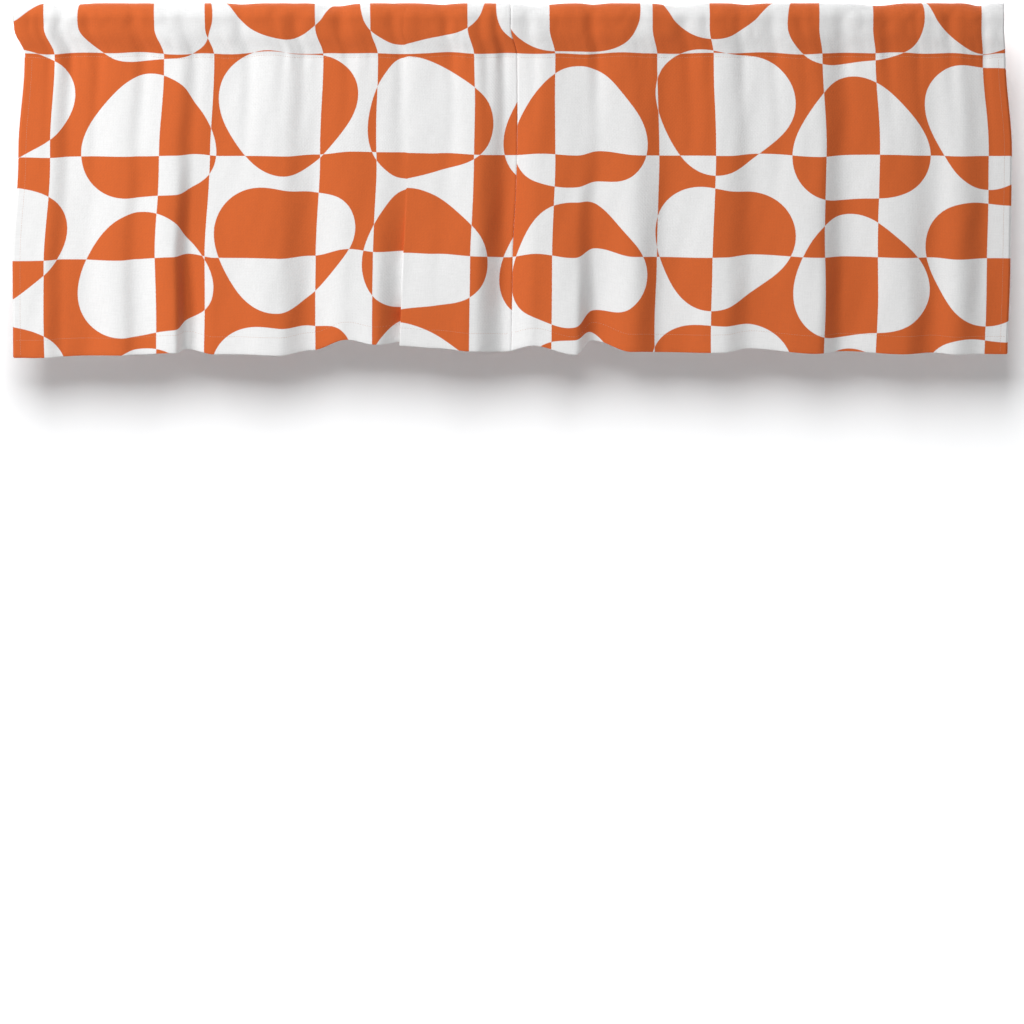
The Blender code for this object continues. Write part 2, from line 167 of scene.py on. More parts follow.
def roundedTriangles(tree, u, v, columns):
    # 1 inside the shapes of these columns, one shape to a row, each a circle pushed out at three corners
    d = printDesign
    soft = d["inkEdge"]
    chart = addNode(tree, "ValToRGB", {"Fac": addNode(tree, "Math", [u, 2.0], operation="DIVIDE")})
    chart.color_ramp.interpolation = "CONSTANT"
    stops, last = chart.color_ramp.elements, -1.0
    for i, (middle, level, aim) in enumerate(columns):
        # a ramp of flat steps holds each column's place, level and turn
        stop = stops[i] if i < len(stops) else stops.new(1.0)
        stop.position = max((last + middle) / 4, 0.0)
        stop.color = ((middle + 1) / 4, -level, aim / 360, 1.0)
        last = middle
    chosen = addNode(tree, "SeparateColor", [chart])
    middleOff = addNode(tree, "Math", [chosen.outputs[0], -4.0, 1.0], operation="MULTIPLY_ADD")
    du = addNode(tree, "Math", [u, middleOff], operation="ADD")
    lifted = addNode(tree, "Math", [v, chosen.outputs[1]], operation="ADD")
    rows = addNode(tree, "Math", [lifted, d["motifRow"]], operation="DIVIDE")
    whichRow = addNode(tree, "Math", [rows], operation="ROUND")
    up = addNode(tree, "Math", [rows, whichRow], operation="SUBTRACT")
    dv = addNode(tree, "Math", [up, d["motifRow"]], operation="MULTIPLY")

    cell = addNode(tree, "CombineXYZ", [chosen.outputs[0], whichRow, 0.0])
    chance = addNode(tree, "TexWhiteNoise", {"Vector": cell}, noise_dimensions="2D")
    sway = math.radians(d["turnChance"] / 2)
    turnBy = addNode(tree, "MapRange", [chance.outputs["Value"], 0.0, 1.0, -sway, sway])
    aim = addNode(tree, "Math", [chosen.outputs[2], 2 * math.pi, turnBy], operation="MULTIPLY_ADD")
    angle = addNode(tree, "Math", [dv, du], operation="ARCTAN2")
    turned = addNode(tree, "Math", [angle, aim], operation="SUBTRACT")
    triple = addNode(tree, "Math", [turned, 3.0], operation="MULTIPLY")
    corners = addNode(tree, "Math", [triple], operation="COSINE")
    double = addNode(tree, "Math", [angle, 2.0], operation="MULTIPLY")
    ovals = addNode(tree, "Math", [double], operation="COSINE")
    cornered = addNode(tree, "Math", [corners, d["corner"], 1.0], operation="MULTIPLY_ADD")
    shape = addNode(tree, "Math", [ovals, d["wide"], cornered], operation="MULTIPLY_ADD")
    edge = addNode(tree, "Math", [shape, d["motifRadius"]], operation="MULTIPLY")
    place = addNode(tree, "CombineXYZ", [du, dv, 0.0])
    reach = addNode(tree, "VectorMath", [place], operation="LENGTH")
    outside = addNode(tree, "Math", [reach.outputs["Value"], edge], operation="SUBTRACT")
    return addNode(tree, "MapRange", [outside, -soft, soft, 1.0, 0.0])


def swapWhere(tree, first, second):
    gap = addNode(tree, "Math", [first, second], operation="SUBTRACT")
    return addNode(tree, "Math", [gap], operation="ABSOLUTE")


def printMask(tree, u, v):
    # 1 where the ink is: a check of wide and narrow columns, its colours swapped inside each rounded triangle
    d = printDesign
    across = addNode(tree, "Math", [u, d["firstColumn"]], operation="SUBTRACT")
    wide = flooredBands(tree, across, d["checkPeriod"], d["wideColumn"])
    below = addNode(tree, "Math", [d["firstRow"] + d["checkRow"], v], operation="SUBTRACT")
    row = flooredBands(tree, below, 2 * d["checkRow"], d["checkRow"])
    check = swapWhere(tree, wide, row)
    evens = roundedTriangles(tree, u, v, d["motifs"][0::2])
    odds = roundedTriangles(tree, u, v, d["motifs"][1::2])
    return swapWhere(tree, check, swapWhere(tree, evens, odds))


def printedPolyester(name, strength):
    # plain woven polyester with the print heat-set into it: matt, soft slubs both ways, no gloss;
    # the wrong side is paler, because the ink only just goes through
    d = printDesign
    material, tree = newMaterial(name)
    place = addNode(tree, "UVMap", uv_map="clothPlace")
    flat = addNode(tree, "SeparateXYZ", [place])
    u, v = flat.outputs[0], flat.outputs[1]
    # the ink's edge creeps along the yarns
    creep = addNode(tree, "TexNoise", {"Vector": place, "Scale": 420.0, "Detail": 1.0})
    uCreep = addNode(tree, "Math", [creep, d["creep"], u], operation="MULTIPLY_ADD")
    ink = printMask(tree, uCreep, v)
    printed = addNode(tree, "Math", [ink, strength], operation="MULTIPLY")
    white, orange = linearFromHex(d["white"]), linearFromHex(d["orange"])
    colour = addNode(tree, "Mix", {"Factor": printed, 6: white, 7: orange}, data_type="RGBA")

    alongWeft = addNode(tree, "Mapping", {"Vector": place, "Scale": d["weftSlub"]})
    alongWarp = addNode(tree, "Mapping", {"Vector": place, "Scale": d["warpSlub"]})
    weft = addNode(tree, "TexNoise", {"Vector": alongWeft, "Scale": 1.0, "Detail": 3.0})
    warp = addNode(tree, "TexNoise", {"Vector": alongWarp, "Scale": 1.0, "Detail": 3.0})
    slubs = addNode(tree, "Math", [weft, warp], operation="ADD")
    tone = addNode(tree, "MapRange", [slubs, 0.7, 1.3, 0.945, 1.03])
    shaded = addNode(tree, "VectorMath", {0: colour.outputs[2], "Scale": tone}, operation="SCALE")
    turns = math.pi / d["threadPitch"]
    warpTurn = addNode(tree, "Math", [u, turns], operation="MULTIPLY")
    weftTurn = addNode(tree, "Math", [v, turns], operation="MULTIPLY")
    warpWave = addNode(tree, "Math", [warpTurn], operation="SINE")
    weftWave = addNode(tree, "Math", [weftTurn], operation="SINE")
    weave = addNode(tree, "Math", [warpWave, weftWave], operation="MULTIPLY")
    height = addNode(tree, "Math", [weave, d["weaveShare"], slubs], operation="MULTIPLY_ADD")
    bump = addNode(tree, "Bump", {"Height": height, "Strength": 0.5, "Distance": 0.0004})
    rough = addNode(tree, "MapRange", [slubs, 0.7, 1.3, 0.78, 0.92])
    surface = addNode(tree, "BsdfPrincipled", {
        "Base Color": shaded,
        "Roughness": rough,
        "Normal": bump,
        "IOR": 1.5,
        "Specular IOR Level": 0.2,
        "Sheen Weight": 0.12,
        "Sheen Roughness": 0.5,
    })
    closeMaterial(tree, surface)
    return material


def spunThread(name, colour):
    # spun polyester sewing thread: fine, hairy and matt, with fine darker flecks at random
    material, tree = newMaterial(name)
    place = addNode(tree, "TexCoord").outputs["Object"]
    hair = addNode(tree, "TexNoise", {"Vector": place, "Scale": 2600.0, "Detail": 2.0})
    base = linearFromHex(colour)
    dark = [c * 0.78 for c in base[:3]] + [1.0]
    shade = addNode(tree, "Mix", {"Factor": hair, 6: dark, 7: base}, data_type="RGBA")
    bump = addNode(tree, "Bump", {"Height": hair, "Strength": 0.4, "Distance": 0.0001})
    surface = addNode(tree, "BsdfPrincipled", {
        "Base Color": shade.outputs[2],
        "Roughness": 0.85,
        "Normal": bump,
        "Specular IOR Level": 0.2,
        "Sheen Weight": 0.15,
    })
    closeMaterial(tree, surface)
    return material


rightSide = printedPolyester("polyester, plain woven, printed face", 1.0)
wrongSide = printedPolyester("polyester, plain woven, wrong side", 0.26)
thread = spunThread("polyester thread, spun", "#DDB199")
print("cloth materials made")

# how the cloth hangs
drape = {
    "hungWidth": 1.296,
    "centreSeam": 0.650,
    "pocketRadius": 0.0129,
    "atSeam": 0.40,  # share of a fold's depth left at the pocket seam
    "sink": 0.13,  # how much lower a fold hangs for each metre that it stands forward
    "nominalHem": -0.450,
    "skirtLength": 0.3860,
    "hemTurn": 0.0008,
    "hemDepth": 0.025,
    "overlap": 0.0160,  # width of the layers that the turned-up hem covers at the sides and the seam
    "weave": 0.0005,
    "groove": 0.0010,  # how far the two widths dip in to meet
    # along the hem: place, depth towards the room, sideways lean, hem level, and how far down
    # the fold starts; where a fold leans more than the cloth runs on, it laps over its neighbour
    "folds": [
        (0.000, 0.004, 0.000, -0.4445, 0.00),
        (0.042, 0.005, 0.000, -0.4435, 0.00),
        (0.066, -0.003, 0.000, -0.4432, -0.6),
        (0.092, -0.002, 0.000, -0.4430, 0.00),
        (0.140, 0.005, 0.000, -0.4420, 0.00),
        (0.160, 0.001, 0.000, -0.4410, 0.00),
        (0.205, 0.010, 0.005, -0.4365, 0.00),
        (0.232, -0.010, -0.006, -0.4345, 0.10),
        (0.262, -0.003, 0.000, -0.4405, 0.00),
        (0.345, 0.007, 0.000, -0.4405, 0.00),
        (0.388, -0.005, 0.000, -0.4355, 0.00),
        (0.434, 0.004, 0.000, -0.4205, 0.00),
        (0.472, 0.010, 0.000, -0.4260, 0.20),
        (0.502, -0.012, 0.009, -0.4260, 0.38),
        (0.512, 0.005, -0.010, -0.4280, 0.38),
        (0.548, 0.006, 0.000, -0.4305, 0.20),
        (0.602, 0.011, 0.000, -0.4350, 0.00),
        (0.640, -0.009, 0.000, -0.4400, 0.00),
        (0.680, 0.005, 0.000, -0.4280, 0.00),
        (0.728, 0.009, 0.004, -0.4380, 0.15),
        (0.757, -0.008, -0.003, -0.4230, 0.15),
        (0.806, 0.007, 0.000, -0.4355, 0.00),
        (0.848, -0.006, 0.000, -0.4390, 0.00),
        (0.926, 0.006, 0.000, -0.4375, 0.00),
        (0.962, -0.003, 0.000, -0.4340, 0.00),
        (1.044, 0.009, 0.003, -0.4370, 0.00),
        (1.078, -0.007, 0.000, -0.4375, 0.00),
        (1.160, 0.006, 0.000, -0.4390, 0.00),
        (1.196, -0.002, 0.000, -0.4390, 0.00),
        (1.228, 0.006, 0.000, -0.4400, 0.00),
        (1.262, -0.004, 0.000, -0.4405, 0.00),
        (1.296, -0.003, 0.000, -0.4410, 0.00),
    ],
    # gathers on the rod that run on into the cloth under it: place, depth, half width
    "gathers": [
        (0.034, 0.0018, 0.006), (0.062, 0.0030, 0.009), (0.098, 0.0024, 0.007), (0.157, 0.0026, 0.009),
        (0.222, 0.0016, 0.010), (0.297, 0.0028, 0.009), (0.340, 0.0014, 0.007), (0.367, 0.0032, 0.009),
        (0.428, 0.0030, 0.010), (0.498, 0.0034, 0.009), (0.566, 0.0028, 0.008), (0.610, 0.0032, 0.007),
        (0.632, 0.0030, 0.006), (0.672, 0.0026, 0.008), (0.756, 0.0038, 0.009), (0.815, 0.0018, 0.010),
        (0.878, 0.0030, 0.010), (0.905, 0.0014, 0.006), (0.948, 0.0026, 0.008), (0.992, 0.0028, 0.009),
        (1.030, 0.0016, 0.007), (1.083, 0.0036, 0.010), (1.142, 0.0030, 0.009), (1.180, 0.0016, 0.006),
        (1.224, 0.0032, 0.009), (1.268, 0.0026, 0.006),
    ],
    # where the top edge dips towards the rod: place, depth, half width
    "dips": [
        (0.070, 0.0036, 0.020), (0.205, 0.0016, 0.018), (0.300, 0.0014, 0.016), (0.422, 0.0038, 0.022),
        (0.560, 0.0018, 0.020), (0.684, 0.0030, 0.026), (0.760, 0.0016, 0.014), (0.867, 0.0036, 0.022),
        (0.960, 0.0020, 0.016), (1.129, 0.0034, 0.024), (1.262, 0.0036, 0.012),
    ],
    "swell": 0.0038,
    "looseness": 0.0036,  # how far the pocket stands off the rod between gathers
    "fullness": 0.0030,
    "wander": 0.0018,
    "pocketBack": 0.0012,  # how far the pocket's back layer lies behind the seam
    "stiffEdge": 0.035,  # the side hems are stiff and lie flat for this far in
    "seamPuckers": 0.014,  # how far the puckers of a line of stitches reach
    "hemPuckers": 0.007,
    # waves of the cloth: height, waves for each metre across and up, and a place in the noise of its own
    "waves": {
        "seamPucker": (0.0007, 150, 18, 4.0),
        "hemPucker": (0.0003, 170, 30, 5.0),
        "longDent": (0.0026, 17, 5, 1.0),
        "smallDent": (0.0010, 42, 13, 2.0),
        "drift": (0.0022, 7, 9, 7.0),
        "rise": (0.0024, 11, 6, 8.0),
        "seamWave": (0.0042, 17, 0, 11.0),
    },
    # height, left edge, right edge
    "edges": [
        (-0.450, -0.0035, 1.2960), (-0.320, -0.0035, 1.2990), (-0.180, 0.0050, 1.3000),
        (-0.052, 0.0140, 1.2910), (-0.014, 0.0004, 1.2885), (0.030, -0.0004, 1.2885),
    ],
    "rows": {"back": 10, "arc": 20, "front": 20, "skirt": 92, "turn": 4, "band": 4},
    "column": 0.0026,
    "lap": (0.494, 0.520, 0.0009),  # from, to, and the closer columns there
    "nearSeam": 0.004,  # the columns close up over this length before the seam, to these places
    "closeColumns": (0.0026, 0.0016, 0.0009, 0.0004, 0.0001),
}
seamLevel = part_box("left_skirt")[1].z
seam, hungWidth = drape["centreSeam"], drape["hungWidth"]


def ease(share):
    return 0.5 - 0.5 * math.cos(math.pi * min(max(share, 0.0), 1.0))


def readTable(table, at, column):
    spot = min(max(bisect.bisect_right([row[0] for row in table], at), 1), len(table) - 1)
    low, high = table[spot - 1], table[spot]
    return low[column] + ease((at - low[0]) / (high[0] - low[0])) * (high[column] - low[column])


def bumps(table, at):
    return sum(depth * math.exp(-((at - place) / half) ** 2) for place, depth, half in table)


def wave(name, along, z):
    height, across, up, seed = drape["waves"][name]
    return height * noise.noise(Vector((along * across, z * up, seed)))


def flatLengths(step=0.001):
    # the cloth's own width, measured along the folds at the hem
    total, lengths, last = 0.0, [], None
    for i in range(round(hungWidth / step) + 1):
        along = i * step
        here = Vector((along, readTable(drape["folds"], along, 1)))
        total += (here - last).length if last else 0.0
        lengths.append(total)
        last = here
    return lengths, step


clothLengths, lengthStep = flatLengths()


def flatPlace(along):
    spot = min(max(along / lengthStep, 0), len(clothLengths) - 1.001)
    low = int(spot)
    return clothLengths[low] + (spot - low) * (clothLengths[low + 1] - clothLengths[low])


def sideways(along, z):
    left, right = readTable(drape["edges"], z, 1), readTable(drape["edges"], z, 2)
    return left + along / hungWidth * (right - left)


def hemLevel(along):
    return readTable(drape["folds"], along, 3)


def grown(start, share):
    # a fold that starts at the seam is there from the top, and one that starts lower opens from nothing
    if start <= 0:
        lower = drape["atSeam"] if start == 0 else 1.0
        return lower + (1 + min(start, 0) - lower) * ease(share ** 0.8)
    return ease((share - start) / (1 - start)) if share > start else 0.0


def foldDepth(along, share):
    table = drape["folds"]
    spot = min(max(bisect.bisect_right([row[0] for row in table], along), 1), len(table) - 1)
    low, high = table[spot - 1], table[spot]
    first, last = low[1] * grown(low[4], share), high[1] * grown(high[4], share)
    return first + ease((along - low[0]) / (high[0] - low[0])) * (last - first)


def skirtPoint(along, z):
    share = min(max((seamLevel - z) / (seamLevel - drape["nominalHem"]), 0.0), 1.0)
    inner = ease(min(along, hungWidth - along) / drape["stiffEdge"])
    depth = foldDepth(along, share)
    fall = drape["sink"] * depth * ease(share * 3)
    depth -= bumps(drape["gathers"], along) * (1 - share) ** 4
    # the seam and the hem's line of stitches draw the cloth up into small puckers
    nearSeam = math.exp(-max(seamLevel - z, 0.0) / drape["seamPuckers"])
    nearHem = math.exp(-abs(z - hemLevel(along) - drape["hemDepth"]) / drape["hemPuckers"])
    loose = nearSeam * wave("seamPucker", along, z) + nearHem * wave("hemPucker", along, z)
    # slack between the folds, in long shallow dents that lean a little
    loose += wave("longDent", along + 0.12 * z, z) * (0.35 + 0.65 * share)
    loose += wave("smallDent", along - 0.2 * z, z)
    depth += loose * inner
    lean = readTable(drape["folds"], along, 2) * share ** 1.6
    drift = wave("drift", along, z) * inner
    rise = wave("rise", along, z) * inner * ease(share * 5)
    rise += wave("seamWave", along, 0) * inner * math.exp(-6 * share)
    return Vector((sideways(along, z) + lean + drift, -depth, z + rise - fall))


def toBack(along, z):
    # the way to the back of the cloth, level and square to it
    step = 0.0012
    across = skirtPoint(along + step, z) - skirtPoint(along - step, z)
    return Vector((-across.y, across.x, 0)).normalized()


def pocketShape():
    radius, reach = drape["pocketRadius"], -seamLevel
    low = math.acos(radius / reach)
    return {"low": low, "straight": math.sqrt(reach ** 2 - radius ** 2), "arc": radius * 2 * (math.pi - low)}


pocketPath = pocketShape()


def clothRows():
    # rows of the mesh down the cloth: the zone, the share of it, and the length of cloth above the seam
    rows, count = [], drape["rows"]
    straight, arc = pocketPath["straight"], pocketPath["arc"]
    for i in range(count["back"]):
        share = i / count["back"]
        rows.append(("back", share, 2 * straight + arc - share * straight))
    for i in range(count["arc"]):
        share = i / count["arc"]
        rows.append(("arc", share, straight + arc * (1 - share)))
    for i in range(count["front"]):
        share = (i / count["front"]) ** 0.8
        rows.append(("front", share, straight * (1 - share)))
    rows += [("skirt", (i / count["skirt"]) ** 1.15, None) for i in range(count["skirt"])]
    rows += [("turn", i / count["turn"], None) for i in range(count["turn"] + 1)]
    rows += [("band", (i + 1) / count["band"], None) for i in range(count["band"])]
    return rows


def pocketSwell(along, high):
    # high is 1 on top of the rod and 0 at the seam
    crown = max(drape["swell"] - bumps(drape["dips"], along), 0.0) * ease((high - 0.35) / 0.65)
    loose = max(drape["looseness"] - bumps(drape["gathers"], along), 0.0)
    sides = math.sin(math.pi * min(high, 0.9) / 0.9) ** 2
    return crown + loose * (0.1 * high + 0.9 * sides)


def bandGap(along):
    # the turned-up hem stands further off where it covers the side hems and the seam's allowances
    reach = min(along, abs(along - seam), hungWidth - along)
    return 2 * drape["hemTurn"] * (1 + ease((drape["overlap"] - reach) / 0.004))


def clothPoint(along, zone, share, dip):
    # dip takes the cloth back, square to itself, where two widths meet
    if zone in ("skirt", "turn", "band"):
        hem = hemLevel(along)
        if zone == "skirt":
            z = seamLevel + (hem - seamLevel) * share
            return skirtPoint(along, z) + dip * toBack(along, z) if dip else skirtPoint(along, z)
        gap = bandGap(along)
        if zone == "turn":
            angle = math.pi * share
            back = toBack(along, hem) * (gap / 2 * (1 - math.cos(angle)) + dip * math.cos(angle))
            return skirtPoint(along, hem) + back + Vector((0, 0, -drape["hemTurn"] * math.sin(angle)))
        level = hem + drape["hemDepth"] * share
        return skirtPoint(along, level) + toBack(along, level) * (gap - dip)
    start = skirtPoint(along, seamLevel)
    low, radius = pocketPath["low"], drape["pocketRadius"]
    if zone == "arc":
        angle = low + 2 * (math.pi - low) * share
        outward = Vector((0, math.sin(angle), -math.cos(angle)))
        point = outward * (radius + pocketSwell(along, 0.5 - 0.5 * math.cos(angle)) - dip)
    else:
        side = 1 if zone == "back" else -1
        run = share if zone == "back" else 1 - share
        outward = Vector((0, side * math.sin(low), -math.cos(low)))
        foot = Vector((0, start.y + (drape["pocketBack"] if zone == "back" else 0.0), start.z))
        high = run * (0.5 - 0.5 * math.cos(low))
        lift = pocketSwell(along, high) * ease(run * 1.6) - dip * run
        point = foot.lerp(outward * radius, run) + outward * lift
        fullness = 0.6 + noise.noise(Vector((along * 22, 3.0, 0)))
        point.y += side * drape["fullness"] * math.sin(math.pi * run) ** 2 * fullness
        point.y += dip * (1 - run)
    wander = drape["wander"] * noise.noise(Vector((along * 45, point.z * 30, 9.0)))
    point.y += math.copysign(wander, point.y) * ease((abs(point.y) - 0.004) / 0.006)
    return Vector((sideways(along, point.z) + start.x - sideways(along, seamLevel), point.y, point.z))


def columnPlaces(outer, inner):
    # even columns, closer together over the last few millimetres before the seam
    inward = 1 if inner > outer else -1
    even = abs(inner - outer) - drape["nearSeam"]
    count = round(even / drape["column"])
    places = [outer + inward * even * i / count for i in range(count + 1)]
    places += [inner - inward * gap for gap in drape["closeColumns"]]
    start, end, close = drape["lap"]
    if min(places) < start < max(places):
        places = [place for place in places if not start <= place <= end]
        places += [start + close * i for i in range(round((end - start) / close) + 1)]
    return sorted(places)


def linkPiece(name, bm, body, materials):
    for face in bm.faces:
        face.smooth = True
    mesh = bpy.data.meshes.new(name)
    bm.to_mesh(mesh)
    bm.free()
    for material in materials:
        mesh.materials.append(material)
    obj = bpy.data.objects.new(name, mesh)
    bpy.context.scene.collection.objects.link(obj)
    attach(obj, body)
    return obj


def thicken(obj):
    # the face given is the printed one, and the cloth's thickness goes behind it
    weave = obj.modifiers.new("weave", "SOLIDIFY")
    weave.thickness = drape["weave"]
    weave.offset = -1.0
    weave.material_offset = 1


def clothSheet(columns, rows, pointAt, flatAt):
    # a grid of so many columns and rows, each point put where pointAt says and printed where flatAt says
    bm = bmesh.new()
    bmesh.ops.create_grid(bm, x_segments=columns - 1, y_segments=rows - 1, size=0.5)
    place = bm.loops.layers.uv.new("clothPlace")
    flat = {}
    for vert in bm.verts:
        column = round((vert.co.x + 0.5) * (columns - 1))
        row = round((0.5 - vert.co.y) * (rows - 1))
        flat[vert] = flatAt(column, row)
        vert.co = pointAt(column, row)
    for face in bm.faces:
        for loop in face.loops:
            loop[place].uv = flat[loop.vert]
    return bm


def lengthDown(zone, share, above):
    # the length of cloth from the seam to a point under it
    if above is not None:
        return -above
    long, halfTurn = drape["skirtLength"], math.pi * drape["hemTurn"]
    if zone == "skirt":
        return long * share
    return long + halfTurn * share if zone == "turn" else long + halfTurn + drape["hemDepth"] * share


def clothWidth(name, outer, inner, printShift):
    # one width of cloth: up the back of the pocket, over the rod, down the front and turned up at the hem
    rows = clothRows()
    places = columnPlaces(outer, inner)

    def pointAt(column, row):
        zone, share = rows[row][:2]
        dip = drape["groove"] * math.exp(-(abs(places[column] - inner) / 0.0011) ** 2)
        return clothPoint(places[column], zone, share, dip if dip > 1e-5 else 0.0)

    def flatAt(column, row):
        return flatPlace(places[column]) - printShift, seamLevel - lengthDown(*rows[row])

    bm = clothSheet(len(places), len(rows), pointAt, flatAt)
    obj = linkPiece(name, bm, "valance", [rightSide, wrongSide])
    thicken(obj)
    return obj


def foldedEdge(name, edge, inward, path, body, printShift):
    # a strip along one edge of a width, folded to the back: path gives (inset from the edge, distance back)
    levels = [(i / drape["rows"]["skirt"]) ** 1.15 for i in range(drape["rows"]["skirt"] + 1)]
    steps = list(reversed(path)) if inward > 0 else path

    def pointAt(column, row):
        inset, back = steps[column]
        along = edge + inward * inset
        top, bottom = seamLevel - edgeFold["fromSeam"], hemLevel(along) + edgeFold["fromHem"]
        z = top + (bottom - top) * levels[row]
        return skirtPoint(along, z) + toBack(along, z) * back

    def flatAt(column, row):
        inset, back = steps[column]
        along = edge + inward * inset
        across = flatPlace(along) - inward * 2 * inset * (back > 0) - printShift
        return across, seamLevel - drape["skirtLength"] * levels[row]

    obj = linkPiece(name, clothSheet(len(steps), len(levels), pointAt, flatAt), body,
                    [rightSide, wrongSide])
    thicken(obj)
    return obj


edgeFold = {
    "turn": 0.0008,
    "depth": 0.0116,
    "tuck": 0.0030,
    "allowance": 0.0120,
    "fromSeam": 0.0015,
    "fromHem": 0.0006,
}


def hemPath():
    # round the edge, in over the back, and tucked in under itself
    d, path = edgeFold, []
    for i in range(7):
        angle = math.pi * i / 6
        path.append((d["turn"] * (1 - math.sin(angle)), d["turn"] * (1 - math.cos(angle))))
    path += [(d["turn"] + (d["depth"] - d["turn"]) * i / 4, 2 * d["turn"]) for i in range(1, 5)]
    path += [(d["depth"] + 0.0005 * math.sin(a), 0.0011 + 0.0005 * math.cos(a)) for a in (0.8, 1.57, 2.4)]
    return path + [(d["depth"] + (d["tuck"] - d["depth"]) * i / 3, 0.0006) for i in range(4)]


def allowancePath():
    # from the groove of the seam, flat against the back of the cloth, to a cut edge
    d = edgeFold
    return [(0.0002, 0.0016)] + [(d["allowance"] * i / 5, 0.0011) for i in range(1, 6)]


def gatherWith(obj, joint):
    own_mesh(obj)


# stitches, each a short bead of thread whose ends go down into the cloth
stitch = {
    "pitch": 0.0031,
    "long": 0.0025,
    "wide": 0.00034,
    "high": 0.00026,
    "fromSeam": 0.004,
    "fromHem": 0.003,
    "fromEdge": 0.004,
    "apart": 0.0012,  # how far the pocket's line runs above the seam at the back and below it in front
    "fromFold": 0.0025,  # from the turned-up hem's edge
    "face": -0.00005,  # distances back from the printed face
    "pocketBack": 0.0018,
    "edgeBack": 0.0017,
    "overlockBack": 0.0012,
    "overlockSlant": 0.9,
}
beadMesh = bpy.data.meshes.new("bead")


def addBead(bm, place):
    # a bmesh of its own for each bead keeps the long lines of stitches quick to make
    bead = bmesh.new()
    bmesh.ops.create_uvsphere(bead, u_segments=6, v_segments=4, radius=1.0, matrix=place)
    bead.to_mesh(beadMesh)
    bead.free()
    bm.from_mesh(beadMesh)


def sewLine(bm, pointAt, backAt, start, end, offset, slant=0.0):
    # pointAt and backAt give a place on the cloth's face and the way to its back; offset is the distance back
    count = max(round((end - start) / stitch["pitch"]), 1)
    for i in range(count):
        at = start + (end - start) * (i + 0.5) / count
        half = stitch["long"] / 2
        first, last = pointAt(at - half), pointAt(at + half)
        back = backAt(at)
        way = (last - first).normalized()
        side = way.cross(back).normalized()
        way = (way + side * slant * (1 if i % 2 else -1)).normalized()
        side = way.cross(back).normalized()
        turn = Matrix((way, side, back)).transposed().to_4x4()
        size = Matrix.Diagonal((half, stitch["wide"] / 2, stitch["high"] / 2, 1.0))
        addBead(bm, Matrix.Translation(pointAt(at) + back * offset) @ turn @ size)


def levelLine(bm, levelAt, start, end, offset):

    def pointAt(at):
        return skirtPoint(at, levelAt(at))

    def backAt(at):
        return toBack(at, levelAt(at))

    sewLine(bm, pointAt, backAt, start, end, offset)


def edgeLine(bm, along, offset, slant=0.0):
    top, bottom = seamLevel - stitch["fromSeam"], hemLevel(along) + stitch["fromHem"]

    def pointAt(at):
        return skirtPoint(along, -at)

    def backAt(at):
        return toBack(along, -at)

    sewLine(bm, pointAt, backAt, -top, -bottom, offset, slant)


def makeSide(side, outer, printShift):
    inward = 1 if outer < seam else -1
    joint, edgeBody = "gather_" + side, side + "_edge"
    width = clothWidth(side + "Width", outer + inward * edgeFold["turn"], seam, printShift)
    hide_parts(side + "_pocket", side + "_skirt", side + "_bottom_hem")
    sideHem = foldedEdge(side + "SideHem", outer, inward, hemPath(), edgeBody, printShift)
    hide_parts(side + "_side_hem")
    allowance = foldedEdge(side + "SeamAllowance", seam, -inward, allowancePath(), "valance", printShift)
    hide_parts("centre_seam")
    low, high = sorted((outer + inward * stitch["fromEdge"], seam - inward * stitch["fromEdge"]))
    face = stitch["face"]

    bm = bmesh.new()
    levelLine(bm, lambda at: seamLevel - stitch["apart"], low, high, face)
    levelLine(bm, lambda at: seamLevel + stitch["apart"], low, high, stitch["pocketBack"])
    pocketStitches = linkPiece(side + "PocketStitches", bm, "valance", [thread])
    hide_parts(side + "_pocket_stitching")

    bm = bmesh.new()
    hemLine = drape["hemDepth"] - stitch["fromFold"]

    def lineLevel(at):
        return hemLevel(at) + hemLine

    def bandBack(at):
        return toBack(at, lineLevel(at))

    def bandFace(at):
        return skirtPoint(at, lineLevel(at)) + bandBack(at) * bandGap(at)

    levelLine(bm, lineLevel, low, high, face)
    sewLine(bm, bandFace, bandBack, low, high, 0.0)
    hemStitches = linkPiece(side + "HemStitches", bm, "valance", [thread])
    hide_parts(side + "_hem_stitching")

    bm = bmesh.new()
    line = outer + inward * (edgeFold["depth"] - 0.0018)
    edgeLine(bm, line, face)
    edgeLine(bm, line, stitch["edgeBack"])
    sideStitches = linkPiece(side + "SideStitches", bm, edgeBody, [thread])
    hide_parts(side + "_side_stitching")

    bm = bmesh.new()
    over, under = edgeFold["allowance"] - 0.0006, edgeFold["allowance"] - 0.0022
    edgeLine(bm, seam - inward * over, stitch["overlockBack"], stitch["overlockSlant"])
    edgeLine(bm, seam - inward * under, stitch["overlockBack"])
    overlock = linkPiece(side + "SeamOverlock", bm, "valance", [thread])
    for piece in (width, allowance, pocketStitches, hemStitches, overlock):
        gatherWith(piece, joint)
    return width, [sideHem, allowance, pocketStitches, hemStitches, sideStitches, overlock]


leftWidth, leftTrim = makeSide("left", 0.0, 0.0)
rightWidth, rightTrim = makeSide("right", hungWidth, printDesign["restart"])
leftFlat = flatPlace(seam)
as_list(leftTrim)
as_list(rightTrim)

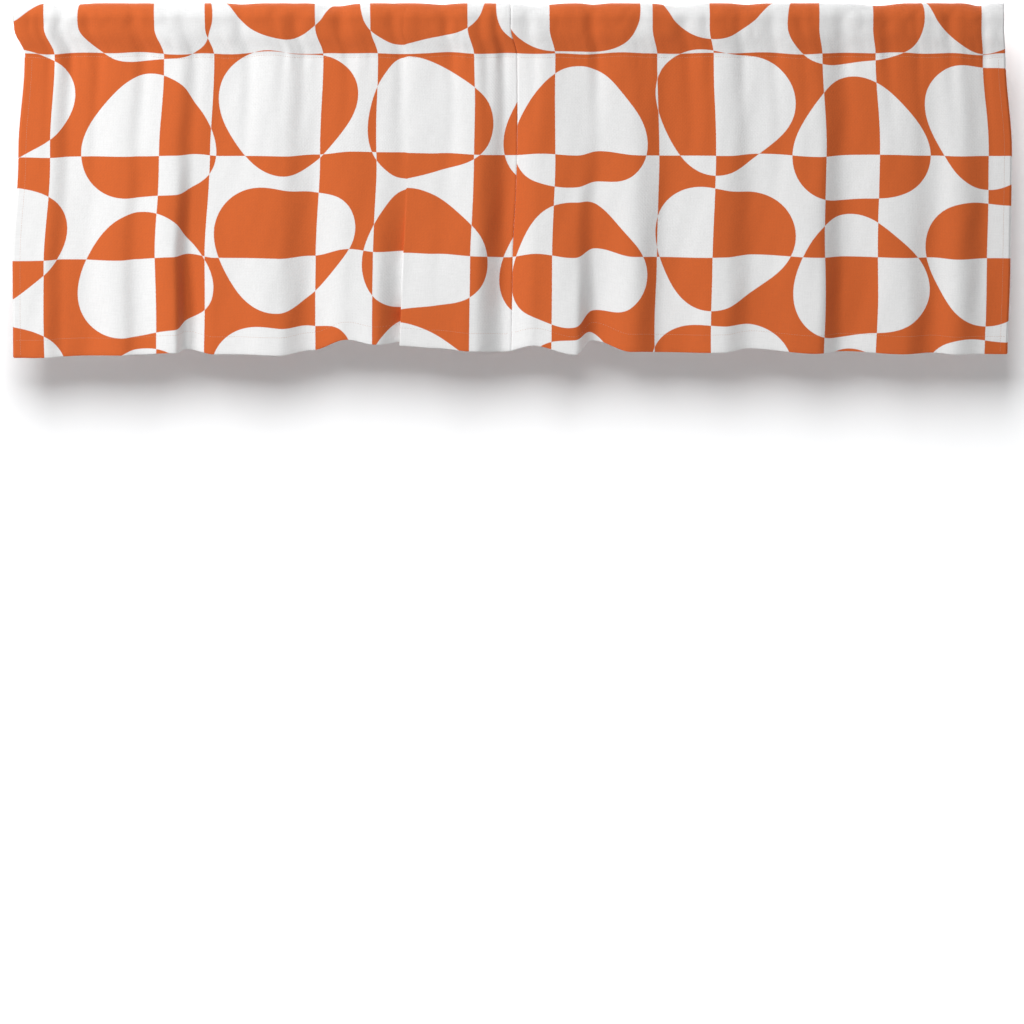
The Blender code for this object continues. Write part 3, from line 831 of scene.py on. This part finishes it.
# rod: turned and moulded pieces round the rod's axis, each a fine copy of its solid
rod = {
    "steps": 96,
    "edge": 0.00012,  # the small round on every cut or moulded edge
    "play": 0.0003,  # the gap between pieces that fit together
    "tubeWall": 0.0007,
    "footRings": (0.0022, 0.0052, 0.0082),  # where the ridges stand on the bearing face
    "footRidge": 0.0005,
    "rimGroove": 0.0005,
    "rimGrooves": (0.0026, 0.0042),
    "sleeveGrooves": (-0.0090, -0.0066, -0.0042),  # from the outer tube's mouth
    "wire": 0.0008,
    "wireSides": 10,
    "turnSteps": 36,
    "deadTurns": 1,
}
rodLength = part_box("right_foot")[1].x


def finish(name, look, base, dark, grain, rough, bump, **shader):
    # base and dark are the colour where the surface is clean and where it is worn or dusty;
    # grain is the size in metres of its marks along x, y and z, and bump how high they stand
    material, tree = newMaterial(name)
    place = addNode(tree, "TexCoord").outputs["Object"]
    marks = addNode(tree, "Mapping", {"Vector": place, "Scale": [1 / size for size in grain]})
    fine = addNode(tree, "TexNoise", {"Vector": marks, "Scale": 1.0, "Detail": 4.0, "Roughness": 0.6})
    broad = addNode(tree, "TexNoise", {"Vector": place, "Scale": look["patch"], "Detail": 2.0})
    both = addNode(tree, "Math", [fine, broad], operation="MULTIPLY")
    share = addNode(tree, "MapRange", [both, look["from"], look["to"], 0.0, 1.0])
    clean, worn = linearFromHex(base), linearFromHex(dark)
    colour = addNode(tree, "Mix", {"Factor": share, 6: clean, 7: worn}, data_type="RGBA")
    spread = addNode(tree, "MapRange", [fine, 0.3, 0.7, rough[0], rough[1]])
    height = addNode(tree, "Bump", {"Height": fine, "Strength": 0.6, "Distance": bump})
    values = {"Base Color": colour.outputs[2], "Roughness": spread, "Normal": height}
    closeMaterial(tree, addNode(tree, "BsdfPrincipled", values | shader))
    return material


patchy, even = {"patch": 60.0, "from": 0.24, "to": 0.42}, {"patch": 25.0, "from": 0.30, "to": 0.48}
# sprayed and stoved: a faint orange peel about 1 mm across under a soft gloss
enamel = finish("polyester powder coat, sprayed", even, "#EDECE8", "#D9D7D0", (0.0011, 0.0011, 0.0011),
                (0.30, 0.42), 0.00002, **{"Coat Weight": 0.25, "Coat Roughness": 0.2})
# moulded in a spark-eroded tool: an even satin grain, slightly waxy
polythene = finish("polyethylene, injection moulded", even, "#E6E4DE", "#D6D3CB", (0.0004, 0.0004, 0.0004),
                   (0.42, 0.56), 0.00002, **{"Specular IOR Level": 0.4, "Subsurface Weight": 0.08})
# soft and grippy: matt, with dust held in the grain
rubber = finish("thermoplastic rubber, moulded", patchy, "#B9B7B1", "#A19E96", (0.0006, 0.0006, 0.0006),
                (0.74, 0.92), 0.00004, **{"Specular IOR Level": 0.3})
# short glass fibres lie along the flow and show as faint pale streaks
nylon = finish("nylon, glass filled, moulded", patchy, "#2B2B2D", "#48484A", (0.0030, 0.0003, 0.0003),
               (0.38, 0.60), 0.00003)
# bright plate with a faint blue and straw bloom from the passivating bath
zinc = finish("mild steel, zinc plated", patchy, "#AFB4B9", "#B5AD98", (0.0008, 0.0008, 0.0008),
              (0.24, 0.42), 0.00001, Metallic=1.0)
# drawn and tempered in oil: brown-grey, with fine lines from the die
springSteel = finish("spring steel wire, oil tempered", patchy, "#7C7D80", "#554E47",
                     (0.0020, 0.0002, 0.0002), (0.28, 0.46), 0.00001, Metallic=1.0)
print("rod materials made")


def ends(node):
    low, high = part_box(node)
    return low.x, high.x, high.z


def turnedPiece(name, node, body, material, outline, mirrored=False):
    # the outline is (x, radius) points, a loop, or a run whose two ends lie on the axis
    bm = bmesh.new()
    points = [bm.verts.new((rodLength - x if mirrored else x, 0, r)) for x, r in outline]
    edges = [bm.edges.new(pair) for pair in zip(points, points[1:])]
    if min(r for x, r in outline) > 0:
        edges.append(bm.edges.new((points[-1], points[0])))
    bmesh.ops.spin(bm, geom=points + edges, cent=(0, 0, 0), axis=(1, 0, 0), angle=2 * math.pi,
                   steps=rod["steps"], use_merge=True)
    bmesh.ops.remove_doubles(bm, verts=bm.verts, dist=1e-6)
    bmesh.ops.recalc_face_normals(bm, faces=bm.faces)
    obj = linkPiece(name, bm, body, [material])
    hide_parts(node)
    edge = obj.modifiers.new("edge", "BEVEL")
    edge.width, edge.segments, edge.limit_method = rod["edge"], 2, "ANGLE"
    edge.angle_limit = math.radians(40)
    edge.harden_normals = True
    return obj


def footOutline():
    # ridged bearing face, rounded rim with two grooves, and a socket at the back for the cap's nub
    start, end, radius = ends("left_foot")
    socket, floor = ends("left_end_cap")[0], rod["footRidge"]
    nub = 0.0053  # the socket's radius, a little over the nub's
    outline = [(floor, 0.0)]
    for ring in rod["footRings"]:
        outline += [(floor, ring), (start, ring + 0.0003), (start, ring + 0.0014), (floor, ring + 0.0017)]
    outline += [(floor, 0.0104), (start, 0.0107), (start, 0.0110)]
    for a in (0.5, 1.05, 1.57):
        outline.append((start + 0.0010 * (1 - math.cos(a)), 0.0110 + 0.0010 * math.sin(a)))
    deep = radius - rod["rimGroove"]
    for groove in rod["rimGrooves"]:
        outline += [(groove, radius), (groove + 0.0003, deep)]
        outline += [(groove + 0.0006, deep), (groove + 0.0009, radius)]
    outline += [(end - 0.0003, radius), (end, radius - 0.0003), (end, nub)]
    return outline + [(socket - rod["play"], nub), (socket - rod["play"], 0.0)]


def capOutline(tubeNode):
    # nub, flange with a rounded rim, and a hollow plug with a lead-in taper
    nubTip, plugEnd, radius = ends("left_end_cap")
    back, tubeStart = ends("left_foot")[1] + rod["play"], ends("outer_tube")[0]
    shoulder, plug = tubeStart - rod["play"], ends(tubeNode)[2] - rod["tubeWall"] - rod["play"]
    hollow, wall = 0.0055, 0.0030
    rim = []
    for a in (0, 0.5, 1.05, 1.57):
        rim.append((back + 0.0006 * (1 - math.cos(a)), radius - 0.0006 * (1 - math.sin(a))))
    return [(nubTip, 0.0), (nubTip, 0.0046), (nubTip + 0.0004, 0.0050), (back, 0.0050)] + rim + [
        (shoulder, radius), (shoulder, plug), (plugEnd - 0.0020, plug), (plugEnd, plug - 0.0008),
        (plugEnd, hollow), (shoulder + wall, hollow), (shoulder + wall, 0.0)]


def tubeOutline(node):
    # a rolled and welded tube with its cut ends turned in a hair
    start, end, radius = ends(node)
    inner, lip = radius - rod["tubeWall"], 0.0004
    return [(start, inner), (start, radius - lip / 2), (start + lip, radius), (end - lip, radius),
            (end, radius - lip / 2), (end, inner)]


def sleeveOutline():
    # gripped over the tube's mouth, with finger grooves, and a lip that guides the inner tube
    start, end, radius = ends("mouth_sleeve")
    play = rod["play"]
    mouth, outer = ends("outer_tube")[1], ends("outer_tube")[2] + play
    inner = ends("inner_tube")[2] + play
    outline = [(start, outer), (start, radius - 0.0004), (start + 0.0004, radius)]
    for groove in rod["sleeveGrooves"]:
        deep = radius - 0.0003
        at = mouth + groove
        outline += [(at, radius), (at + 0.0003, deep), (at + 0.0007, deep), (at + 0.0010, radius)]
    outline += [(end - 0.0008, radius), (end, radius - 0.0008), (end, inner)]
    return outline + [(mouth + play, inner), (mouth + play, outer)]


def windSpring():
    # one flat turn at each end and open turns between, wound by carrying a round wire along as it turns
    start, end, reach = ends("compression_spring")
    wire, steps = rod["wire"], rod["turnSteps"]
    turns = 10 - 2 * rod["deadTurns"]
    flat = 2.02 * wire
    pitch = (end - start - 2 * wire - 2 * rod["deadTurns"] * flat) / turns
    bm = bmesh.new()
    place = Matrix.Translation((start + wire, 0, reach - wire)) @ Matrix.Rotation(math.pi / 2, 4, "X")
    bmesh.ops.create_circle(bm, cap_ends=True, radius=wire, segments=rod["wireSides"], matrix=place)
    wound = list(bm.verts) + list(bm.edges) + list(bm.faces)
    for count, rise in ((rod["deadTurns"], flat), (turns, pitch), (rod["deadTurns"], flat)):
        wound = bmesh.ops.spin(bm, geom=wound, cent=(0, 0, 0), axis=(1, 0, 0), angle=2 * math.pi * count,
                               dvec=(rise / steps, 0, 0), steps=count * steps, use_merge=False)["geom_last"]
    bmesh.ops.remove_doubles(bm, verts=bm.verts, dist=1e-6)
    bmesh.ops.recalc_face_normals(bm, faces=bm.faces)
    spring = linkPiece("compressionSpring", bm, "twist", [springSteel])
    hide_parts("compression_spring")
    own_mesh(spring)


def makeRod():
    for side, body, tubeNode, mirrored in (("left", "outer_rod", "outer_tube", False),
                                           ("right", "inner_rod", "inner_tube", True)):
        turnedPiece(side + "Foot", side + "_foot", body, rubber, footOutline(), mirrored)
        turnedPiece(side + "EndCap", side + "_end_cap", body, polythene,
                    capOutline(tubeNode), mirrored)
    turnedPiece("outerTube", "outer_tube", "outer_rod", enamel, tubeOutline("outer_tube"))
    turnedPiece("innerTube", "inner_tube", "inner_rod", enamel, tubeOutline("inner_tube"))
    turnedPiece("mouthSleeve", "mouth_sleeve", "outer_rod", polythene, sleeveOutline())
    windSpring()
    # the lock's own solids keep their shape
    for material, nodes in ((nylon, ("lock_collet", "guide_plug")),
                            (zinc, ("wedge", "spindle", "spring_seat", "stop_nut"))):
        for node in nodes:
            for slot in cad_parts[node].material_slots:
                slot.material = material


makeRod()
print("rod made")

# stage: white wall, pale floor, and a pale room round them that gives no light
stage = {
    "wall": 0.090,
    "floor": -2.0,
    "room": 19.0,
    "white": "#FDFEFF",
    "pale": "#DADAD8",
    "roomGlow": 0.72,
    "floorGlow": 0.42,
    "wallGlow": 0.40,  # of the wall far under the cloth, where the lamp is weaker
    "glowFrom": -0.60,
    "glowTo": -1.00,
}


def stagePaint(name, colour, glow, fades=False):
    material, tree = newMaterial(name)
    surface = addNode(tree, "BsdfPrincipled", {
        "Base Color": linearFromHex(colour),
        "Roughness": 1.0,
        "Specular IOR Level": 0.0,
        "Emission Color": (1, 1, 1, 1),
        "Emission Strength": glow,
    })
    if fades:
        # the wall's glow is painted light: none near the cloth, and rising further down where the lamp is
        # weaker, so that the backdrop stays evenly white
        place = addNode(tree, "SeparateXYZ", [addNode(tree, "TexCoord").outputs["Object"]])
        low, high = stage["glowTo"], stage["glowFrom"]
        fade = addNode(tree, "MapRange", [place.outputs[2], low, high, glow, 0.0])
        tree.links.new(fade.outputs[0], surface.inputs["Emission Strength"])
    # seen from behind it is clear, so that it never hides the cloth's back
    clear = addNode(tree, "BsdfTransparent")
    side = addNode(tree, "NewGeometry")
    closeMaterial(tree, addNode(tree, "MixShader", [side.outputs["Backfacing"], surface, clear]))
    return material


def stagePiece(name, bm, paint, bounces):
    mesh = bpy.data.meshes.new(name)
    bm.to_mesh(mesh)
    bm.free()
    mesh.materials.append(paint)
    obj = bpy.data.objects.new(name, mesh)
    bpy.context.scene.collection.objects.link(obj)
    obj.visible_shadow = False
    obj.visible_diffuse = obj.visible_glossy = bounces
    return obj


def stageSheet(size, place, turn):
    bm = bmesh.new()
    spread = Matrix.Diagonal((size[0], size[1], 1.0, 1.0))
    at = Matrix.Translation(place) @ Matrix.Rotation(turn, 4, "X") @ spread
    bmesh.ops.create_grid(bm, x_segments=1, y_segments=1, size=0.5, matrix=at)
    return bm


def makeStage():
    wallPaint = stagePaint("matt white wall paint", stage["white"], stage["wallGlow"], fades=True)
    floorPaint = stagePaint("matt pale floor paint", stage["pale"], stage["floorGlow"])
    roomPaint = stagePaint("pale studio paint", stage["pale"], stage["roomGlow"])
    wall = stageSheet((9.0, 6.8), (0.65, stage["wall"], 1.4), math.pi / 2)
    floor = stageSheet((12.0, 12.0), (0.65, 0.0, stage["floor"]), 0.0)
    room = bmesh.new()
    bmesh.ops.create_uvsphere(room, u_segments=48, v_segments=24, radius=stage["room"])
    bmesh.ops.reverse_faces(room, faces=room.faces)
    return [
        stagePiece("stageWall", wall, wallPaint, True),
        stagePiece("stageFloor", floor, floorPaint, False),
        stagePiece("stageRoom", room, roomPaint, False),
    ]


# place, size of the lamp, power in watts, and what it lights;
# the wall's lamp throws the cloth's one soft shadow
lights = {
    "wallWash": {"place": (0.10, -2.6, 2.0), "size": (2.4, 2.5), "power": 178, "lights": "stage"},
    "key": {"place": (-0.90, -2.8, 1.1), "size": (1.5, 1.0), "power": 43, "lights": "object"},
    "side": {"place": (-2.7, -2.4, 0.7), "size": (1.0, 1.4), "power": 74, "lights": "object"},
    "behind": {"place": (1.2, 2.6, 1.3), "size": (2.2, 1.6), "power": 13, "lights": "object"},
}
worldGlow = 0.37


def makeLights(made):
    groups = {}
    for group, state in (("stage", "INCLUDE"), ("object", "EXCLUDE")):
        groups[group] = bpy.data.collections.new(group)
        for i, obj in enumerate(made):
            groups[group].objects.link(obj)
            groups[group].collection_objects[i].light_linking.link_state = state
    for name, light in lights.items():
        lamp = bpy.data.lights.new(name, "AREA")
        lamp.shape = "RECTANGLE"
        lamp.size, lamp.size_y = light["size"]
        lamp.energy = light["power"]
        obj = bpy.data.objects.new(name, lamp)
        bpy.context.scene.collection.objects.link(obj)
        obj.location = light["place"]
        aim = (cadBox[0] + cadBox[1]) / 2 - obj.location
        obj.rotation_euler = aim.to_track_quat("-Z", "Y").to_euler()
        obj.light_linking.receiver_collection = groups[light["lights"]]
    world = bpy.data.worlds.new("white studio")
    world.use_nodes = True
    world.node_tree.nodes["Background"].inputs["Color"].default_value = (1, 1, 1, 1)
    world.node_tree.nodes["Background"].inputs["Strength"].default_value = worldGlow
    bpy.context.scene.world = world
    bpy.context.scene.view_settings.view_transform = "Standard"


makeLights(makeStage())
print("stage and lights set")
